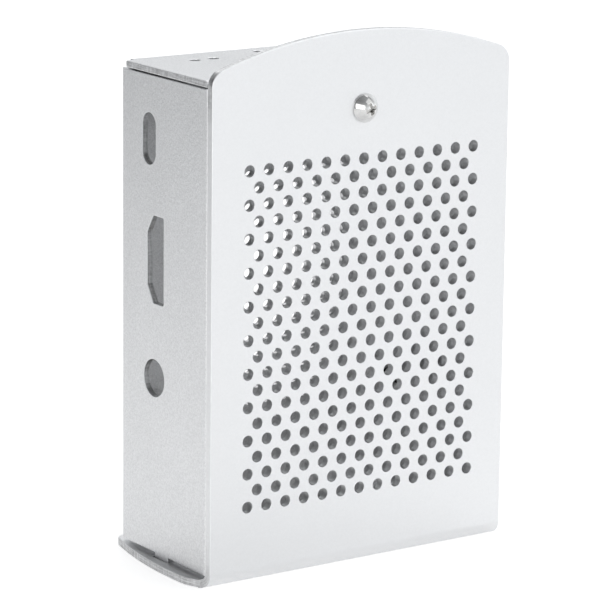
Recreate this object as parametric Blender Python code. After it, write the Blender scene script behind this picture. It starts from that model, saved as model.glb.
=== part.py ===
"""Two-piece folded aluminium case for a single board computer of 85 by 56 mm.

The case stands on its end plate: +Z is up, the perforated front faces -Y and the
connector wall is on the -X side.  Heights start at the underside of the end plate,
depths start at the front face of the cover and grow towards the back panel.
"""
import math

import bmesh
import bpy
from mathutils import Matrix, Vector

MM = 0.001

# The computer board that the case is made for, and where it sits
BOARD_LENGTH = 85.0 * MM
BOARD_WIDTH = 56.0 * MM
BOARD_THICKNESS = 1.6 * MM
BOARD_CARD_END_GAP = 0.98 * MM    # board edge to the underside of the top flange
BOARD_USB_END_GAP = 0.67 * MM     # board edge to the lower end of the walls
BOARD_PORT_SIDE_GAP = 1.65 * MM   # board edge to the connector wall
BOARD_FAR_SIDE_GAP = 3.05 * MM    # board edge to the plain wall
BOARD_HOLE_INSET = 3.5 * MM       # screw holes from the card end and from both sides
BOARD_HOLE_USB_END_INSET = 23.5 * MM

# Sheet metal
TRAY_THICKNESS = 1.2 * MM
TRAY_BEND_RADIUS = 1.7 * MM       # outer radius
COVER_THICKNESS = 1.5 * MM
COVER_BEND_RADIUS = 3.0 * MM      # outer radius
CASE_DEPTH = 30.8 * MM            # front face to back face
COVER_GAP = 0.3 * MM              # cover to the front edges of the tray
COVER_SIDE_MARGIN = 0.2 * MM      # cover beyond the tray on each side
TRAY_LIFT = 0.7 * MM              # walls above the end plate
FLANGE_GAP = 0.25 * MM            # walls below the top flange
RELIEF_WIDTH = 0.8 * MM           # slit beside each end of the flange bend
RELIEF_DEPTH = 0.4 * MM
FLANGE_SHOULDER = 0.7 * MM        # flange widens this far past its bend

# Front plate of the cover
ARC_RISE = 6.85 * MM              # crown above the top flange
ARC_RADIUS = 92.0 * MM
ARC_CORNER_RADIUS = 3.0 * MM
HOLE_DIAMETER = 2.0 * MM
HOLE_PITCH_ACROSS = 4.0 * MM
HOLE_PITCH_UP = 3.0 * MM
HOLE_MARGIN_SIDE = 7.0 * MM       # least distance of a hole centre from the side
HOLE_MARGIN_BELOW = 11.8 * MM     # first row above the lower end of the walls
HOLE_MARGIN_ABOVE = 14.2 * MM     # last row below the upper end of the walls
HOLE_SIDES = 6

# Holes of the back panel, behind the middle of the board, with the same pitches
BACK_HOLE_MARGIN_SIDE = 12.0 * MM  # outer columns from the sides of the board
BACK_HOLE_MARGIN_END = 15.5 * MM   # outer rows from the ends of the board

# End plate of the cover
EAR_BULGE = 2.0 * MM              # end plate beyond the front plate on each side
EAR_RADIUS = 85.0 * MM
EAR_CROWN_DEPTH = 11.0 * MM       # depth at which the end plate is widest
EAR_CORNER_RADIUS = 3.0 * MM
HEEL = 2.5 * MM                   # end plate beyond the back face
HEEL_CORNER_RADIUS = 2.0 * MM

# Locating tabs of the tray in the slots of the end plate
TAB_WIDTH = 4.3 * MM
TAB_DEPTH = 16.6 * MM             # depth of the tab's centre
TAB_END_GAP = 0.3 * MM            # tab end above the underside of the end plate
TAB_CLEARANCE = 0.3 * MM

# Connector openings, each placed by the board's own connector
POWER_ALONG = 10.6 * MM       # from the board's card end
POWER_ABOVE = 1.22 * MM       # centre above the board
POWER_LENGTH = 9.2 * MM
POWER_WIDTH = 4.3 * MM
DISPLAY_ALONG = 32.0 * MM
DISPLAY_ABOVE = 3.375 * MM
DISPLAY_LENGTH = 15.7 * MM
DISPLAY_WIDTH = 5.35 * MM
DISPLAY_CHAMFER_ALONG = 3.15 * MM
DISPLAY_CHAMFER_UP = 2.0 * MM
AUDIO_ALONG = 53.5 * MM
AUDIO_ABOVE = 2.95 * MM
AUDIO_DIAMETER = 6.75 * MM
JACK_MARGIN_PORT_SIDE = 1.75 * MM  # board edge to the network cut-out
JACK_MARGIN_FAR_SIDE = 1.3 * MM
JACK_WEB = 2.575 * MM             # metal between neighbouring cut-outs
JACK_SHARES = (0.3556, 0.3222, 0.3222)
JACK_FRONT_WEB = 2.45 * MM        # bend to the double USB cut-outs
JACK_BEHIND_BOARD_TOP = 0.55 * MM
JACK_CORNER = 0.3 * MM
NETWORK_STEP = 2.5 * MM           # network jack lower than the USB jacks
CARD_NOTCH_WIDTH = 14.0 * MM
CARD_NOTCH_HEIGHT = 7.0 * MM
CARD_NOTCH_CORNER = 1.5 * MM

# Small holes in the top flange
LED_ACROSS = (7.85 * MM, 11.7 * MM)
LED_BEHIND_BOARD_TOP = 0.7 * MM
LED_HOLE_DIAMETER = 2.0 * MM
SPARE_HOLE_ACROSS = 23.3 * MM
SPARE_HOLE_BEHIND_BOARD_TOP = 3.5 * MM
SPARE_HOLE_DIAMETER = 2.3 * MM

# Screwed joint of cover and tray
LIP_WIDTH = 13.0 * MM
LIP_RELIEF = 1.0 * MM
LIP_BELOW_SCREW = 5.5 * MM
COVER_SCREW_DROP = 7.05 * MM      # screw axis below the top of the flange
COVER_SCREW_SHANK = 2.6 * MM
COVER_SCREW_LENGTH = 6.0 * MM
COVER_SCREW_HEAD = 5.4 * MM
COVER_SCREW_HEAD_HEIGHT = 1.9 * MM
NUT_DIAMETER = 6.3 * MM
NUT_HEIGHT = 1.5 * MM

# Standoffs, small screws and feet
STANDOFF_HEIGHT = 6.0 * MM
STANDOFF_ACROSS_FLATS = 5.0 * MM
SMALL_SCREW_SHANK = 2.2 * MM
SMALL_SCREW_HEAD = 4.7 * MM
SMALL_SCREW_HEAD_HEIGHT = 1.6 * MM
SCREW_HOLE_CLEARANCE = 0.8 * MM
STANDOFF_SCREW_LENGTH = 3.0 * MM
SCREW_TIP_GAP = 0.8 * MM          # between the two screws in one standoff
FOOT_DIAMETER = 8.0 * MM
FOOT_INSET_SIDE = 7.0 * MM        # foot centre from the side of the tray
FOOT_INSET_END = 12.0 * MM        # lower feet from the lower end of the walls
FOOT_SCREW_GAP = 1.45 * MM        # upper feet below the heads of the upper screws
FOOT_CHAMFER = 0.5 * MM
SEAT_GAP = 0.3 * MM               # between pieces that rest on each other

BEND_STEPS = 5
CORNER_STEPS = 5
ARC_STEPS = 18
ROUND_SIDES = 18
SMALL_SCREW_SIDES = 10

COVER_SCREW_HOLE = COVER_SCREW_SHANK + SCREW_HOLE_CLEARANCE
SMALL_SCREW_HOLE = SMALL_SCREW_SHANK + SCREW_HOLE_CLEARANCE

# Heights
END_PLATE_TOP = COVER_THICKNESS
WALL_BOTTOM = END_PLATE_TOP + TRAY_LIFT
BOARD_USB_END = WALL_BOTTOM + BOARD_USB_END_GAP
BOARD_CARD_END = BOARD_USB_END + BOARD_LENGTH
FLANGE_UNDERSIDE = BOARD_CARD_END + BOARD_CARD_END_GAP
WALL_TOP = FLANGE_UNDERSIDE - FLANGE_GAP
FLANGE_TOP = FLANGE_UNDERSIDE + TRAY_THICKNESS
COVER_TOP = FLANGE_TOP + ARC_RISE
COVER_SCREW_HEIGHT = FLANGE_TOP - COVER_SCREW_DROP

# Widths
TRAY_WIDTH = BOARD_PORT_SIDE_GAP + BOARD_WIDTH + BOARD_FAR_SIDE_GAP + 2 * TRAY_THICKNESS
TRAY_HALF = TRAY_WIDTH / 2
COVER_HALF = TRAY_HALF + COVER_SIDE_MARGIN
BOARD_PORT_EDGE = -TRAY_HALF + TRAY_THICKNESS + BOARD_PORT_SIDE_GAP

# Depths
TRAY_FRONT = COVER_THICKNESS + COVER_GAP
TRAY_REACH = CASE_DEPTH - TRAY_FRONT
PANEL_INSIDE = CASE_DEPTH - TRAY_THICKNESS
BOARD_SEAT = PANEL_INSIDE - STANDOFF_HEIGHT
BOARD_TOP = BOARD_SEAT - BOARD_THICKNESS           # side with the connectors
HEEL_EDGE = CASE_DEPTH + HEEL
BOARD_SCREW_LENGTH = STANDOFF_HEIGHT + TRAY_THICKNESS + 2 * SEAT_GAP - STANDOFF_SCREW_LENGTH - SCREW_TIP_GAP
SCREW_HEAD_TIP = -SEAT_GAP - COVER_SCREW_HEAD_HEIGHT
DEPTH_CENTRE = (SCREW_HEAD_TIP + HEEL_EDGE) / 2


def bend_length(radius, thickness):
    """Length of the sheet's middle layer in a square bend."""
    return math.pi / 2 * (radius - thickness / 2)


TRAY_BEND = bend_length(TRAY_BEND_RADIUS, TRAY_THICKNESS)
COVER_BEND = bend_length(COVER_BEND_RADIUS, COVER_THICKNESS)
PANEL_HALF = TRAY_HALF - TRAY_BEND_RADIUS          # side bends start here
PANEL_TOP = FLANGE_TOP - TRAY_BEND_RADIUS          # flange bend starts here
LIP_START = TRAY_BEND + TRAY_REACH - 2 * TRAY_BEND_RADIUS


def circle(centre, diameter, sides):
    """Corners of a hole whose sides enclose the area of the round hole."""
    step = 2 * math.pi / sides
    radius = diameter / 2 * math.sqrt(step / math.sin(step))
    return [(centre[0] + radius * math.cos((i + 0.5) * step),
             centre[1] + radius * math.sin((i + 0.5) * step)) for i in range(sides)]


def arc(centre, radius, start, end, steps):
    """Points on an arc, both ends included."""
    angles = [start + (end - start) * i / steps for i in range(steps + 1)]
    return [(centre[0] + radius * math.cos(a), centre[1] + radius * math.sin(a)) for a in angles]


def rounded_rectangle(low, high, radius):
    """Corners of a rectangle with rounded corners, counter-clockwise."""
    points = []
    centres = [(high[0] - radius, high[1] - radius), (low[0] + radius, high[1] - radius),
               (low[0] + radius, low[1] + radius), (high[0] - radius, low[1] + radius)]
    for quarter, centre in enumerate(centres):
        start = quarter * math.pi / 2
        points += arc(centre, radius, start, start + math.pi / 2, CORNER_STEPS)
    return points


def slot(centre, length, width):
    """A slot with round ends, longest along the second coordinate."""
    reach = (length - width) / 2
    upper = arc((centre[0], centre[1] + reach), width / 2, 0, math.pi, CORNER_STEPS * 2)
    lower = arc((centre[0], centre[1] - reach), width / 2, math.pi, 2 * math.pi, CORNER_STEPS * 2)
    return upper + lower


def bowed_edge(low, high, crown, height, radius, low_corner, high_corner, low_height=None):
    """A shallow arc from low to high with a rounded corner at each end.

    The arc reaches its greatest height at crown.  Points are (along, height).  The low
    corner starts at low_height, or upright where none is given.
    """
    centre = Vector((crown, height - radius))

    def corner(position, side, corner_radius):
        along = position + side * corner_radius
        rise = math.sqrt((radius - corner_radius) ** 2 - (along - crown) ** 2)
        middle = Vector((along, centre.y + rise))
        return middle, math.atan2(middle.y - centre.y, middle.x - centre.x)

    low_middle, low_angle = corner(low, 1, low_corner)
    high_middle, high_angle = corner(high, -1, high_corner)
    start = math.pi
    if low_height is not None:
        start -= math.asin((low_height - low_middle.y) / low_corner)
    points = arc(low_middle, low_corner, start, low_angle, CORNER_STEPS)
    points += arc(centre, radius, low_angle, high_angle, ARC_STEPS)[1:-1]
    points += arc(high_middle, high_corner, high_angle, 0, CORNER_STEPS)
    return points


def add_panel(bm, outline, holes=()):
    """One flat panel of a blank, filled round its holes."""
    edges = []
    for loop in [outline, *holes]:
        verts = [bm.verts.new((u, v, 0)) for u, v in loop]
        edges += [bm.edges.new((verts[i - 1], verts[i])) for i in range(len(verts))]
    bmesh.ops.triangle_fill(bm, use_beauty=True, edges=edges, normal=(0, 0, 1))


def add_bend(bm, start, end, offset, steps=BEND_STEPS):
    """The strip of a blank that is bent, from the line start-end over to start-end plus offset."""
    rows = []
    for i in range(steps + 1):
        shift = Vector(offset) * i / steps
        rows.append([bm.verts.new((*(Vector(p) + shift), 0)) for p in (start, end)])
    for (a, b), (c, d) in zip(rows, rows[1:]):
        bm.faces.new((a, b, d, c))


def bend(along, depth, radius, length):
    """Where a point of a flap goes: along is measured past the bend's start, depth from the
    outer face.  The result is the reach past the bend's start and the rise from the outer face."""
    if along <= 0:
        return along, depth
    if along < length:
        angle = math.pi / 2 * along / length
        return (radius - depth) * math.sin(angle), radius - (radius - depth) * math.cos(angle)
    return radius - depth, radius + along - length


def finish_sheet(bm, thickness, fold):
    """Thicken the filled blank and fold it."""
    bmesh.ops.remove_doubles(bm, verts=bm.verts[:], dist=0.001 * MM)
    made = bmesh.ops.extrude_face_region(bm, geom=bm.faces[:])
    inner = [item for item in made["geom"] if isinstance(item, bmesh.types.BMVert)]
    bmesh.ops.translate(bm, verts=inner, vec=(0, 0, thickness))
    for vert in bm.verts:
        vert.co = fold(vert.co)
    bmesh.ops.recalc_face_normals(bm, faces=bm.faces[:])
    if bm.calc_volume(signed=True) < 0:
        bmesh.ops.reverse_faces(bm, faces=bm.faces[:])


def make_mesh(name, bm):
    mesh = bpy.data.meshes.new(name)
    bm.to_mesh(mesh)
    bm.free()
    mesh.shade_smooth()
    mesh.set_sharp_from_angle(angle=math.radians(30))
    return mesh


def make_object(name, mesh, material, parent=None):
    obj = bpy.data.objects.new(name, mesh)
    bpy.context.collection.objects.link(obj)
    if not mesh.materials:
        mesh.materials.append(material)
    obj.parent = parent
    return obj


def make_material(name, colour, roughness, metallic):
    material = bpy.data.materials.new(name)
    material.use_nodes = True
    shader = material.node_tree.nodes["Principled BSDF"]
    shader.inputs["Base Color"].default_value = (*colour, 1)
    shader.inputs["Roughness"].default_value = roughness
    shader.inputs["Metallic"].default_value = metallic
    material.diffuse_color = (*colour, 1)
    return material


def hole_field(middle, width, low, high):
    """Staggered holes: full rows from low to high, and rows between them with one hole less."""
    tolerance = 0.01
    columns = int(width / HOLE_PITCH_ACROSS + tolerance) + 1
    rows = int((high - low) / HOLE_PITCH_UP + tolerance) + 1
    holes = []
    for row in range(rows):
        count = columns - row % 2
        first = middle - (count - 1) / 2 * HOLE_PITCH_ACROSS
        holes += [circle((first + i * HOLE_PITCH_ACROSS, low + row * HOLE_PITCH_UP), HOLE_DIAMETER, HOLE_SIDES)
                  for i in range(count)]
    return holes


def connector_cutouts():
    """Openings of the end plate as (low corner, high corner), across and in depth."""
    webs = (len(JACK_SHARES) - 1) * JACK_WEB
    room = BOARD_WIDTH - JACK_MARGIN_PORT_SIDE - JACK_MARGIN_FAR_SIDE - webs
    across = BOARD_PORT_EDGE + JACK_MARGIN_PORT_SIDE
    behind = BOARD_TOP + JACK_BEHIND_BOARD_TOP
    cutouts = []
    for index, share in enumerate(JACK_SHARES):
        front = COVER_BEND_RADIUS + JACK_FRONT_WEB
        if index == 0:
            front += NETWORK_STEP
        cutouts.append(((across, front), (across + room * share, behind)))
        across += room * share + JACK_WEB
    return cutouts


def tab_slots():
    """Slots of the end plate for the two tabs of the tray."""
    half = TAB_WIDTH / 2 + TAB_CLEARANCE
    inner = TRAY_HALF - TRAY_THICKNESS - TAB_CLEARANCE
    outer = TRAY_HALF + TAB_CLEARANCE
    return [((side_low, TAB_DEPTH - half), (side_high, TAB_DEPTH + half))
            for side_low, side_high in ((-outer, -inner), (inner, outer))]


def build_cover(material, parent):
    """The front plate, the bend at its foot and the end plate, folded from one sheet."""
    bm = bmesh.new()
    bend_top = COVER_BEND_RADIUS
    crown = bowed_edge(-COVER_HALF, COVER_HALF, 0, COVER_TOP, ARC_RADIUS,
                       ARC_CORNER_RADIUS, ARC_CORNER_RADIUS)
    front = [(COVER_HALF, bend_top), (-COVER_HALF, bend_top)] + crown
    holes = hole_field(0, 2 * (COVER_HALF - HOLE_MARGIN_SIDE),
                       WALL_BOTTOM + HOLE_MARGIN_BELOW, WALL_TOP - HOLE_MARGIN_ABOVE)
    holes.append(circle((0, COVER_SCREW_HEIGHT), COVER_SCREW_HOLE, ROUND_SIDES))
    add_panel(bm, front, holes)
    add_bend(bm, (-COVER_HALF, bend_top), (COVER_HALF, bend_top), (0, -COVER_BEND))

    def flat(point):
        """Flat place of a point of the end plate that is given across and in depth."""
        return point[0], bend_top - COVER_BEND - (point[1] - COVER_BEND_RADIUS)

    side = bowed_edge(COVER_BEND_RADIUS, HEEL_EDGE, EAR_CROWN_DEPTH, COVER_HALF + EAR_BULGE,
                      EAR_RADIUS, EAR_CORNER_RADIUS, HEEL_CORNER_RADIUS, COVER_HALF)
    end = [(COVER_HALF, COVER_BEND_RADIUS)] + [(across, depth) for depth, across in side]
    end += [(-across, depth) for across, depth in reversed(end)]
    openings = connector_cutouts() + tab_slots()
    loops = [rounded_rectangle(low, high, JACK_CORNER) for low, high in openings]
    add_panel(bm, [flat(p) for p in end], [[flat(p) for p in loop] for loop in loops])

    def fold(point):
        along = bend_top - point.y
        reach, rise = bend(along, point.z, COVER_BEND_RADIUS, COVER_BEND)
        return Vector((point.x, rise - DEPTH_CENTRE, bend_top - reach))

    finish_sheet(bm, COVER_THICKNESS, fold)
    return make_object("cover", make_mesh("cover", bm), material, parent)


def wall_place(depth, height, side=-1):
    """Flat place of a point of a side wall."""
    rise = CASE_DEPTH - depth
    return side * (PANEL_HALF + TRAY_BEND + rise - TRAY_BEND_RADIUS), height


def wall_outline(side):
    """Outline of a side wall with its tab, in flat places."""
    half = TAB_WIDTH / 2
    behind = CASE_DEPTH - TRAY_BEND_RADIUS
    points = [(behind, WALL_TOP), (behind, PANEL_TOP - RELIEF_DEPTH), (behind, WALL_BOTTOM),
              (TAB_DEPTH + half, WALL_BOTTOM), (TAB_DEPTH + half, TAB_END_GAP),
              (TAB_DEPTH - half, TAB_END_GAP), (TAB_DEPTH - half, WALL_BOTTOM),
              (TRAY_FRONT, WALL_BOTTOM), (TRAY_FRONT, WALL_TOP)]
    return [wall_place(depth, height, side) for depth, height in points]


def port_openings():
    """Openings of the connector wall, in flat places."""
    power = (BOARD_TOP - POWER_ABOVE, BOARD_CARD_END - POWER_ALONG)
    display = (BOARD_TOP - DISPLAY_ABOVE, BOARD_CARD_END - DISPLAY_ALONG)
    audio = (BOARD_TOP - AUDIO_ABOVE, BOARD_CARD_END - AUDIO_ALONG)
    near = display[0] + DISPLAY_WIDTH / 2
    shoulder = near - DISPLAY_CHAMFER_UP
    far = display[0] - DISPLAY_WIDTH / 2
    half = DISPLAY_LENGTH / 2
    narrow = half - DISPLAY_CHAMFER_ALONG
    trapezium = [(far, half), (shoulder, half), (near, narrow),
                 (near, -narrow), (shoulder, -half), (far, -half)]
    shapes = [slot(power, POWER_LENGTH, POWER_WIDTH),
              [(depth, display[1] + up) for depth, up in trapezium],
              circle(audio, AUDIO_DIAMETER, ROUND_SIDES)]
    return [[wall_place(depth, height) for depth, height in shape] for shape in shapes]


def flange_place(across, depth):
    """Flat place of a point of the top flange."""
    return across, PANEL_TOP + TRAY_BEND + CASE_DEPTH - depth - TRAY_BEND_RADIUS


def board_holes():
    """The four screw holes of the board, across and in height, with names."""
    sides = {"left": BOARD_PORT_EDGE + BOARD_HOLE_INSET,
             "right": BOARD_PORT_EDGE + BOARD_WIDTH - BOARD_HOLE_INSET}
    levels = {"upper": BOARD_CARD_END - BOARD_HOLE_INSET,
              "lower": BOARD_USB_END + BOARD_HOLE_USB_END_INSET}
    return {level + "_" + side: (across, height)
            for level, height in levels.items() for side, across in sides.items()}


def add_side_bend(bm, side):
    """The bend of a side wall, slit beside the flange bend."""
    relief = PANEL_TOP - RELIEF_DEPTH
    whole = side * TRAY_BEND
    slit = side * RELIEF_WIDTH
    start = side * PANEL_HALF
    add_bend(bm, (start, WALL_BOTTOM), (start, relief), (slit, 0), 2)
    middle = start + slit
    add_bend(bm, (middle, WALL_BOTTOM), (middle, relief), (whole - slit, 0), BEND_STEPS - 2)
    add_bend(bm, (middle, relief), (middle, WALL_TOP), (whole - slit, 0), BEND_STEPS - 2)


def build_tray(material, parent):
    """The back panel with two side walls, a top flange and the lip for the cover screw."""
    bm = bmesh.new()
    relief = PANEL_TOP - RELIEF_DEPTH
    panel = [(-PANEL_HALF, WALL_BOTTOM), (PANEL_HALF, WALL_BOTTOM), (PANEL_HALF, relief),
             (PANEL_HALF, PANEL_TOP), (-PANEL_HALF, PANEL_TOP), (-PANEL_HALF, relief)]
    board_middle = BOARD_PORT_EDGE + BOARD_WIDTH / 2
    notch_top = BOARD_CARD_END - BOARD_CARD_END_GAP
    notch = rounded_rectangle((board_middle - CARD_NOTCH_WIDTH / 2, notch_top - CARD_NOTCH_HEIGHT),
                              (board_middle + CARD_NOTCH_WIDTH / 2, notch_top), CARD_NOTCH_CORNER)
    screws = [circle(place, SMALL_SCREW_HOLE, ROUND_SIDES) for place in board_holes().values()]
    vents = hole_field(board_middle, BOARD_WIDTH - 2 * BACK_HOLE_MARGIN_SIDE,
                       BOARD_USB_END + BACK_HOLE_MARGIN_END, BOARD_CARD_END - BACK_HOLE_MARGIN_END)
    add_panel(bm, panel, [notch, *screws, *vents])
    add_side_bend(bm, -1)
    add_side_bend(bm, 1)
    add_panel(bm, wall_outline(-1), port_openings())
    add_panel(bm, wall_outline(1))
    add_bend(bm, (-PANEL_HALF, PANEL_TOP), (PANEL_HALF, PANEL_TOP), (0, TRAY_BEND))

    bend_end = PANEL_TOP + TRAY_BEND
    shoulder = bend_end + FLANGE_SHOULDER
    lip_start = PANEL_TOP + LIP_START
    edge = lip_start + TRAY_BEND_RADIUS
    lip_half = LIP_WIDTH / 2
    half = [(PANEL_HALF, bend_end), (PANEL_HALF, shoulder), (TRAY_HALF, shoulder), (TRAY_HALF, edge),
            (lip_half + LIP_RELIEF, edge), (lip_half + LIP_RELIEF, lip_start), (lip_half, lip_start)]
    flange = half + [(-across, along) for across, along in reversed(half)]
    small_holes = [(across, LED_BEHIND_BOARD_TOP, LED_HOLE_DIAMETER) for across in LED_ACROSS]
    small_holes.append((SPARE_HOLE_ACROSS, SPARE_HOLE_BEHIND_BOARD_TOP, SPARE_HOLE_DIAMETER))
    add_panel(bm, flange, [circle(flange_place(BOARD_PORT_EDGE + across, BOARD_TOP + behind),
                                  diameter, ROUND_SIDES)
                           for across, behind, diameter in small_holes])
    add_bend(bm, (-lip_half, lip_start), (lip_half, lip_start), (0, TRAY_BEND))

    lip_flat = lip_start + TRAY_BEND
    screw_along = lip_flat + COVER_SCREW_DROP - TRAY_BEND_RADIUS
    lip_end = screw_along + LIP_BELOW_SCREW
    corner = TRAY_BEND_RADIUS
    lip = [(-lip_half, lip_flat), (lip_half, lip_flat)]
    lip += arc((lip_half - corner, lip_end - corner), corner, 0, math.pi / 2, CORNER_STEPS)
    lip += arc((corner - lip_half, lip_end - corner), corner, math.pi / 2, math.pi, CORNER_STEPS)
    add_panel(bm, lip, [circle((0, screw_along), COVER_SCREW_HOLE, ROUND_SIDES)])

    def fold(point):
        across, height, depth = point.x, point.y, point.z
        rise = depth
        tiny = 0.001 * MM
        on_flange = height > PANEL_TOP and (abs(across) < PANEL_HALF + tiny or height > WALL_TOP + tiny)
        if on_flange:
            along = height - PANEL_TOP
            if abs(across) < lip_half + tiny and along > LIP_START:
                reach, depth = bend(along - LIP_START, depth, TRAY_BEND_RADIUS, TRAY_BEND)
                along = LIP_START + reach
            reach, rise = bend(along, depth, TRAY_BEND_RADIUS, TRAY_BEND)
            height = PANEL_TOP + reach
        elif abs(across) > PANEL_HALF:
            side = math.copysign(1, across)
            reach, rise = bend(abs(across) - PANEL_HALF, depth, TRAY_BEND_RADIUS, TRAY_BEND)
            across = side * (PANEL_HALF + reach)
        return Vector((across, CASE_DEPTH - rise - DEPTH_CENTRE, height))

    finish_sheet(bm, TRAY_THICKNESS, fold)
    return make_object("base_tray", make_mesh("base_tray", bm), material, parent)


def turned(profile, sides=ROUND_SIDES, closed=False):
    """A solid of revolution round +Z from (radius, height) points.

    An open profile has both ends on the axis, a closed one makes a ring.
    """
    bm = bmesh.new()
    verts = [bm.verts.new((radius, 0, height)) for radius, height in profile]
    pairs = list(zip(verts, verts[1:]))
    if closed:
        pairs.append((verts[-1], verts[0]))
    edges = [bm.edges.new(pair) for pair in pairs]
    bmesh.ops.spin(bm, geom=verts + edges, cent=(0, 0, 0), axis=(0, 0, 1),
                   angle=2 * math.pi, steps=sides, use_merge=True)
    bmesh.ops.remove_doubles(bm, verts=bm.verts[:], dist=0.001 * MM)
    bmesh.ops.recalc_face_normals(bm, faces=bm.faces[:])
    return bm


def ring(name, outer, inner, low, high, chamfer, sides=ROUND_SIDES):
    """A turned ring round +Z with a chamfer on its outer edges."""
    profile = [(inner, low), (outer - chamfer, low), (outer, low + chamfer),
               (outer, high - chamfer), (outer - chamfer, high), (inner, high)]
    return make_mesh(name, turned(profile, sides, closed=True))


def cross_cutter(reach, width, depth, top):
    """A tapered cross, the shape of a screwdriver's tip, that ends at top + a little."""
    bm = bmesh.new()
    above = top + width
    taper = 0.45
    for turn in (0, math.pi / 2):
        lower = [(-reach * taper, -width / 2), (reach * taper, -width / 2),
                 (reach * taper, width / 2), (-reach * taper, width / 2)]
        scale = (above - (top - depth)) / depth
        spread = reach * (taper + (1 - taper) * scale)
        upper = [(-spread, -width / 2), (spread, -width / 2), (spread, width / 2), (-spread, width / 2)]
        base = [bm.verts.new((x, y, top - depth)) for x, y in lower]
        roof = [bm.verts.new((x, y, above)) for x, y in upper]
        faces = [bm.faces.new(base[::-1]), bm.faces.new(roof)]
        faces += [bm.faces.new((base[i - 1], base[i], roof[i], roof[i - 1])) for i in range(4)]
        verts = base + roof
        bmesh.ops.rotate(bm, verts=verts, cent=(0, 0, 0), matrix=Matrix.Rotation(turn, 3, "Z"))
    return bm


def screw_mesh(name, head, head_height, shank, length, material, sides):
    """A pan head screw with a cross recess: head above z = 0, shank below."""
    rim = head_height * 0.45
    sphere = (head / 2 * 0.97) ** 2 / (2 * (head_height - rim)) + (head_height - rim) / 2
    crown = head_height - sphere
    steps = sides // 5
    dome = [math.asin(head / 2 * 0.97 / sphere) * i / steps for i in range(steps + 1)]
    profile = [(sphere * math.sin(a), crown + sphere * math.cos(a)) for a in dome]
    profile += [(head / 2, rim * 0.8), (head / 2, rim * 0.3), (head / 2 - rim * 0.3, 0),
                (shank / 2, 0), (shank / 2, shank * 0.2 - length), (shank * 0.3, -length), (0, -length)]
    body = bpy.data.objects.new(name + "_body", make_mesh(name + "_body", turned(profile, sides)))
    cutter_bm = cross_cutter(head * 0.27, head * 0.15, head_height * 0.62, head_height)
    cutter = bpy.data.objects.new(name + "_recess", make_mesh(name + "_recess", cutter_bm))
    for obj in (body, cutter):
        bpy.context.collection.objects.link(obj)
    cut = body.modifiers.new("recess", "BOOLEAN")
    cut.operation = "DIFFERENCE"
    cut.solver = "EXACT"
    cut.use_self = True
    cut.object = cutter
    evaluated = body.evaluated_get(bpy.context.evaluated_depsgraph_get())
    mesh = bpy.data.meshes.new_from_object(evaluated)
    mesh.name = name
    mesh.materials.clear()
    mesh.materials.append(material)
    for obj in (body, cutter):
        bpy.data.objects.remove(obj)
    return mesh


def place(obj, across, depth, height, facing):
    """Put a turned piece at its place, with its local +Z along facing."""
    obj.location = (across, depth - DEPTH_CENTRE, height)
    obj.rotation_euler = Vector(facing).to_track_quat("Z", "Y").to_euler()


FRONTWARDS = (0, -1, 0)
BACKWARDS = (0, 1, 0)


def build_cover_fastening(steel, parent):
    """The screw through the front plate and the pressed nut behind the lip."""
    mesh = screw_mesh("cover_screw", COVER_SCREW_HEAD, COVER_SCREW_HEAD_HEIGHT,
                      COVER_SCREW_SHANK, COVER_SCREW_LENGTH, steel, ROUND_SIDES)
    screw = make_object("cover_screw", mesh, steel, parent)
    place(screw, 0, -SEAT_GAP, COVER_SCREW_HEIGHT, FRONTWARDS)
    bore = COVER_SCREW_SHANK / 2 + SEAT_GAP
    nut = ring("cover_nut", NUT_DIAMETER / 2, bore, 0, NUT_HEIGHT, SEAT_GAP)
    seat = TRAY_FRONT + TRAY_THICKNESS + SEAT_GAP
    place(make_object("cover_nut", nut, steel, parent), 0, seat, COVER_SCREW_HEIGHT, BACKWARDS)


def build_board_mounts(steel, parent):
    """Four standoffs on the back panel, each with a screw from behind and one for the board."""
    bore = SMALL_SCREW_SHANK / 2 + SEAT_GAP
    corner_radius = STANDOFF_ACROSS_FLATS / 2 / math.cos(math.pi / 6)
    standoff = ring("standoff", corner_radius, bore, SEAT_GAP, STANDOFF_HEIGHT, SEAT_GAP, 6)
    rear = screw_mesh("standoff_screw", SMALL_SCREW_HEAD, SMALL_SCREW_HEAD_HEIGHT,
                      SMALL_SCREW_SHANK, STANDOFF_SCREW_LENGTH, steel, SMALL_SCREW_SIDES)
    front = screw_mesh("board_screw", SMALL_SCREW_HEAD, SMALL_SCREW_HEAD_HEIGHT,
                       SMALL_SCREW_SHANK, BOARD_SCREW_LENGTH, steel, SMALL_SCREW_SIDES)
    for where, (across, height) in board_holes().items():
        pieces = [("standoff_", standoff, PANEL_INSIDE, FRONTWARDS),
                  ("standoff_screw_", rear, CASE_DEPTH + SEAT_GAP, BACKWARDS),
                  ("board_screw_", front, BOARD_SEAT - SEAT_GAP, FRONTWARDS)]
        for name, mesh, depth, facing in pieces:
            place(make_object(name + where, mesh, steel, parent), across, depth, height, facing)


def build_feet(rubber, parent):
    """Four round feet on the back panel, as high as the heel of the end plate."""
    radius = FOOT_DIAMETER / 2
    profile = [(0, HEEL), (radius - FOOT_CHAMFER, HEEL), (radius, HEEL - FOOT_CHAMFER),
               (radius, SEAT_GAP), (0, SEAT_GAP)]
    mesh = make_mesh("foot", turned(profile))
    across = TRAY_HALF - FOOT_INSET_SIDE
    upper_screw = BOARD_CARD_END - BOARD_HOLE_INSET
    heights = {"upper": upper_screw - SMALL_SCREW_HEAD / 2 - FOOT_SCREW_GAP - radius,
               "lower": WALL_BOTTOM + FOOT_INSET_END}
    for level, height in heights.items():
        for side, sign in (("left", -1), ("right", 1)):
            foot = make_object("foot_" + level + "_" + side, mesh, rubber, parent)
            place(foot, sign * across, CASE_DEPTH, height, BACKWARDS)


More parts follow.
